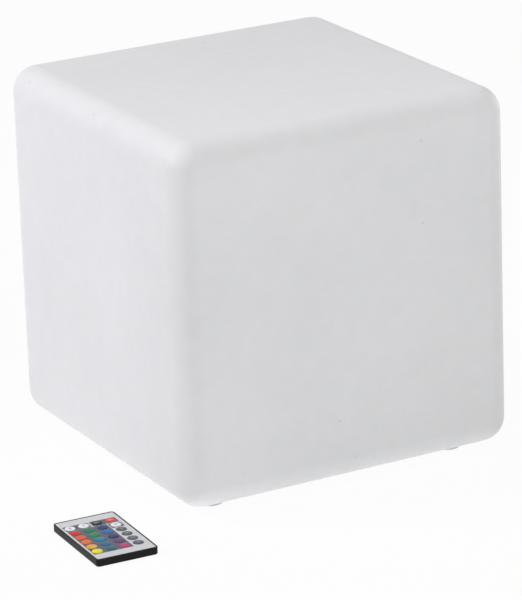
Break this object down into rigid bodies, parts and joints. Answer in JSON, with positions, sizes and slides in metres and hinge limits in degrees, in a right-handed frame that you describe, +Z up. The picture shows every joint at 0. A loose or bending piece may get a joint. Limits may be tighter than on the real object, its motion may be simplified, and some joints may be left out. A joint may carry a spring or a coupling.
{
  "type": "led cube light",
  "caption": "Free-standing glowing cube for gardens and porches, with a round rechargeable light module in its base and a card-shaped handset beside it.",
  "frame": {"origin": "on the floor, under the middle of the cube", "axes": "+Z up; -X is towards the face that has the handset in front of it, -Y towards the other face that the picture shows"},
  "size_m": [0.3963, 0.3332, 0.3076],
  "materials": {
    "polyethylene": "satin rotomoulded polyethylene, faintly translucent, with fine pits",
    "insert_brass": "knurled brass",
    "silicone": "matt silicone",
    "screw_steel": "plated screws",
    "housing_plastic": "fine-textured white moulding",
    "frosted_dome": "frosted polycarbonate",
    "light_board": "white solder mask on an aluminium board",
    "chip_phosphor": "light chips under clear resin",
    "component_black": "moulded black component bodies",
    "circuit_green": "green solder mask",
    "cell_sleeve": "shrink sleeve over cylindrical cells",
    "cradle_plastic": "black moulding",
    "strap_web": "woven strap",
    "lead_red": "insulated wire",
    "lead_white": "insulated wire",
    "clear_guide": "clear acrylic",
    "button_plastic": "moulded push button",
    "plug_rubber": "grey silicone rubber",
    "case_black": "satin black moulding",
    "face_silver": "silver film with a fine grain and dark printed panels",
    "spring_steel": "stamped spring steel",
    "emitter_clear": "clear resin lamp",
    "coin_steel": "plated steel can",
    "key_white": "domed moulded key with a soft sheen",
    "key_grey": "domed moulded key with a soft sheen",
    "key_black": "domed moulded key with a soft sheen",
    "key_scarlet": "domed moulded key with a soft sheen",
    "key_red": "domed moulded key with a soft sheen",
    "key_green": "domed moulded key with a soft sheen",
    "key_navy": "domed moulded key with a soft sheen",
    "key_vermilion": "domed moulded key with a soft sheen",
    "key_emerald": "domed moulded key with a soft sheen",
    "key_blue": "domed moulded key with a soft sheen",
    "key_orange": "domed moulded key with a soft sheen",
    "key_teal": "domed moulded key with a soft sheen",
    "key_indigo": "domed moulded key with a soft sheen",
    "key_amber": "domed moulded key with a soft sheen",
    "key_petrol": "domed moulded key with a soft sheen",
    "key_violet": "domed moulded key with a soft sheen",
    "key_yellow": "domed moulded key with a soft sheen",
    "key_lagoon": "domed moulded key with a soft sheen",
    "key_pink": "domed moulded key with a soft sheen"
  },
  "bodies": {
    "light": {"shell": "polyethylene", "insert_nuts": "insert_brass", "base_gasket": "silicone", "base_screws": "screw_steel", "module_housing": "housing_plastic", "led_dome": "frosted_dome", "led_board": "light_board", "led_chips": "chip_phosphor", "board_screws": "screw_steel", "ir_receiver": "component_black", "control_board": "circuit_green", "control_parts": "component_black", "battery_cells": "cell_sleeve", "battery_cradle": "cradle_plastic", "protection_board": "circuit_green", "battery_strap": "strap_web", "stack_screws": "screw_steel", "battery_leads": "lead_red", "light_leads": "lead_white", "power_switch": "component_black", "button_seal": "silicone", "charge_socket": "component_black", "light_pipe": "clear_guide"},
    "power_button": {"power_button": "button_plastic", "switch_plunger": "component_black"},
    "port_plug": {"port_plug": "plug_rubber"},
    "remote": {"remote_case": "case_black", "remote_face": "face_silver", "remote_board": "circuit_green", "remote_chip": "component_black", "key_domes": "spring_steel", "ir_emitter": "emitter_clear", "battery_contacts": "spring_steel"},
    "battery_tray": {"battery_tray": "case_black", "coin_cell": "coin_steel"},
    "key_brighter": {"key_brighter": "key_white"},
    "key_dimmer": {"key_dimmer": "key_white"},
    "key_off": {"key_off": "key_black"},
    "key_on": {"key_on": "key_scarlet"},
    "key_red": {"key_red": "key_red"},
    "key_green": {"key_green": "key_green"},
    "key_navy": {"key_navy": "key_navy"},
    "key_white": {"key_white": "key_white"},
    "key_vermilion": {"key_vermilion": "key_vermilion"},
    "key_emerald": {"key_emerald": "key_emerald"},
    "key_blue": {"key_blue": "key_blue"},
    "key_flash": {"key_flash": "key_grey"},
    "key_orange": {"key_orange": "key_orange"},
    "key_teal": {"key_teal": "key_teal"},
    "key_indigo": {"key_indigo": "key_indigo"},
    "key_strobe": {"key_strobe": "key_grey"},
    "key_amber": {"key_amber": "key_amber"},
    "key_petrol": {"key_petrol": "key_petrol"},
    "key_violet": {"key_violet": "key_violet"},
    "key_fade": {"key_fade": "key_grey"},
    "key_yellow": {"key_yellow": "key_yellow"},
    "key_lagoon": {"key_lagoon": "key_lagoon"},
    "key_pink": {"key_pink": "key_pink"},
    "key_smooth": {"key_smooth": "key_grey"}
  },
  "joints": [
    {"name": "power_press", "type": "slide", "parent": "light", "child": "power_button", "axis": [0, 0, 1], "range_m": [0, 0.001], "stiffness_N_per_m": 1200, "springref_m": -0.001},
    {"name": "plug_pull", "type": "slide", "parent": "light", "child": "port_plug", "axis": [0, 0, -1], "range_m": [0, 0.0075]},
    {"name": "remote_lift", "type": "slide", "parent": "light", "child": "remote", "axis": [0, 0, 1], "range_m": [0, 0.25]},
    {"name": "tray_slide", "type": "slide", "parent": "remote", "child": "battery_tray", "axis": [-0.0454, -0.999, 0], "range_m": [0, 0.028]},
    {"name": "press_brighter", "type": "slide", "parent": "remote", "child": "key_brighter", "axis": [0, 0, -1], "range_m": [0, 0.00025], "stiffness_N_per_m": 1000, "springref_m": -0.0003, "deforming": ["key_domes"]},
    {"name": "press_dimmer", "type": "slide", "parent": "remote", "child": "key_dimmer", "axis": [0, 0, -1], "range_m": [0, 0.00025], "stiffness_N_per_m": 1000, "springref_m": -0.0003, "deforming": ["key_domes"]},
    {"name": "press_off", "type": "slide", "parent": "remote", "child": "key_off", "axis": [0, 0, -1], "range_m": [0, 0.00025], "stiffness_N_per_m": 1000, "springref_m": -0.0003, "deforming": ["key_domes"]},
    {"name": "press_on", "type": "slide", "parent": "remote", "child": "key_on", "axis": [0, 0, -1], "range_m": [0, 0.00025], "stiffness_N_per_m": 1000, "springref_m": -0.0003, "deforming": ["key_domes"]},
    {"name": "press_red", "type": "slide", "parent": "remote", "child": "key_red", "axis": [0, 0, -1], "range_m": [0, 0.00025], "stiffness_N_per_m": 1000, "springref_m": -0.0003, "deforming": ["key_domes"]},
    {"name": "press_green", "type": "slide", "parent": "remote", "child": "key_green", "axis": [0, 0, -1], "range_m": [0, 0.00025], "stiffness_N_per_m": 1000, "springref_m": -0.0003, "deforming": ["key_domes"]},
    {"name": "press_navy", "type": "slide", "parent": "remote", "child": "key_navy", "axis": [0, 0, -1], "range_m": [0, 0.00025], "stiffness_N_per_m": 1000, "springref_m": -0.0003, "deforming": ["key_domes"]},
    {"name": "press_white", "type": "slide", "parent": "remote", "child": "key_white", "axis": [0, 0, -1], "range_m": [0, 0.00025], "stiffness_N_per_m": 1000, "springref_m": -0.0003, "deforming": ["key_domes"]},
    {"name": "press_vermilion", "type": "slide", "parent": "remote", "child": "key_vermilion", "axis": [0, 0, -1], "range_m": [0, 0.00025], "stiffness_N_per_m": 1000, "springref_m": -0.0003, "deforming": ["key_domes"]},
    {"name": "press_emerald", "type": "slide", "parent": "remote", "child": "key_emerald", "axis": [0, 0, -1], "range_m": [0, 0.00025], "stiffness_N_per_m": 1000, "springref_m": -0.0003, "deforming": ["key_domes"]},
    {"name": "press_blue", "type": "slide", "parent": "remote", "child": "key_blue", "axis": [0, 0, -1], "range_m": [0, 0.00025], "stiffness_N_per_m": 1000, "springref_m": -0.0003, "deforming": ["key_domes"]},
    {"name": "press_flash", "type": "slide", "parent": "remote", "child": "key_flash", "axis": [0, 0, -1], "range_m": [0, 0.00025], "stiffness_N_per_m": 1000, "springref_m": -0.0003, "deforming": ["key_domes"]},
    {"name": "press_orange", "type": "slide", "parent": "remote", "child": "key_orange", "axis": [0, 0, -1], "range_m": [0, 0.00025], "stiffness_N_per_m": 1000, "springref_m": -0.0003, "deforming": ["key_domes"]},
    {"name": "press_teal", "type": "slide", "parent": "remote", "child": "key_teal", "axis": [0, 0, -1], "range_m": [0, 0.00025], "stiffness_N_per_m": 1000, "springref_m": -0.0003, "deforming": ["key_domes"]},
    {"name": "press_indigo", "type": "slide", "parent": "remote", "child": "key_indigo", "axis": [0, 0, -1], "range_m": [0, 0.00025], "stiffness_N_per_m": 1000, "springref_m": -0.0003, "deforming": ["key_domes"]},
    {"name": "press_strobe", "type": "slide", "parent": "remote", "child": "key_strobe", "axis": [0, 0, -1], "range_m": [0, 0.00025], "stiffness_N_per_m": 1000, "springref_m": -0.0003, "deforming": ["key_domes"]},
    {"name": "press_amber", "type": "slide", "parent": "remote", "child": "key_amber", "axis": [0, 0, -1], "range_m": [0, 0.00025], "stiffness_N_per_m": 1000, "springref_m": -0.0003, "deforming": ["key_domes"]},
    {"name": "press_petrol", "type": "slide", "parent": "remote", "child": "key_petrol", "axis": [0, 0, -1], "range_m": [0, 0.00025], "stiffness_N_per_m": 1000, "springref_m": -0.0003, "deforming": ["key_domes"]},
    {"name": "press_violet", "type": "slide", "parent": "remote", "child": "key_violet", "axis": [0, 0, -1], "range_m": [0, 0.00025], "stiffness_N_per_m": 1000, "springref_m": -0.0003, "deforming": ["key_domes"]},
    {"name": "press_fade", "type": "slide", "parent": "remote", "child": "key_fade", "axis": [0, 0, -1], "range_m": [0, 0.00025], "stiffness_N_per_m": 1000, "springref_m": -0.0003, "deforming": ["key_domes"]},
    {"name": "press_yellow", "type": "slide", "parent": "remote", "child": "key_yellow", "axis": [0, 0, -1], "range_m": [0, 0.00025], "stiffness_N_per_m": 1000, "springref_m": -0.0003, "deforming": ["key_domes"]},
    {"name": "press_lagoon", "type": "slide", "parent": "remote", "child": "key_lagoon", "axis": [0, 0, -1], "range_m": [0, 0.00025], "stiffness_N_per_m": 1000, "springref_m": -0.0003, "deforming": ["key_domes"]},
    {"name": "press_pink", "type": "slide", "parent": "remote", "child": "key_pink", "axis": [0, 0, -1], "range_m": [0, 0.00025], "stiffness_N_per_m": 1000, "springref_m": -0.0003, "deforming": ["key_domes"]},
    {"name": "press_smooth", "type": "slide", "parent": "remote", "child": "key_smooth", "axis": [0, 0, -1], "range_m": [0, 0.00025], "stiffness_N_per_m": 1000, "springref_m": -0.0003, "deforming": ["key_domes"]}
  ]
}
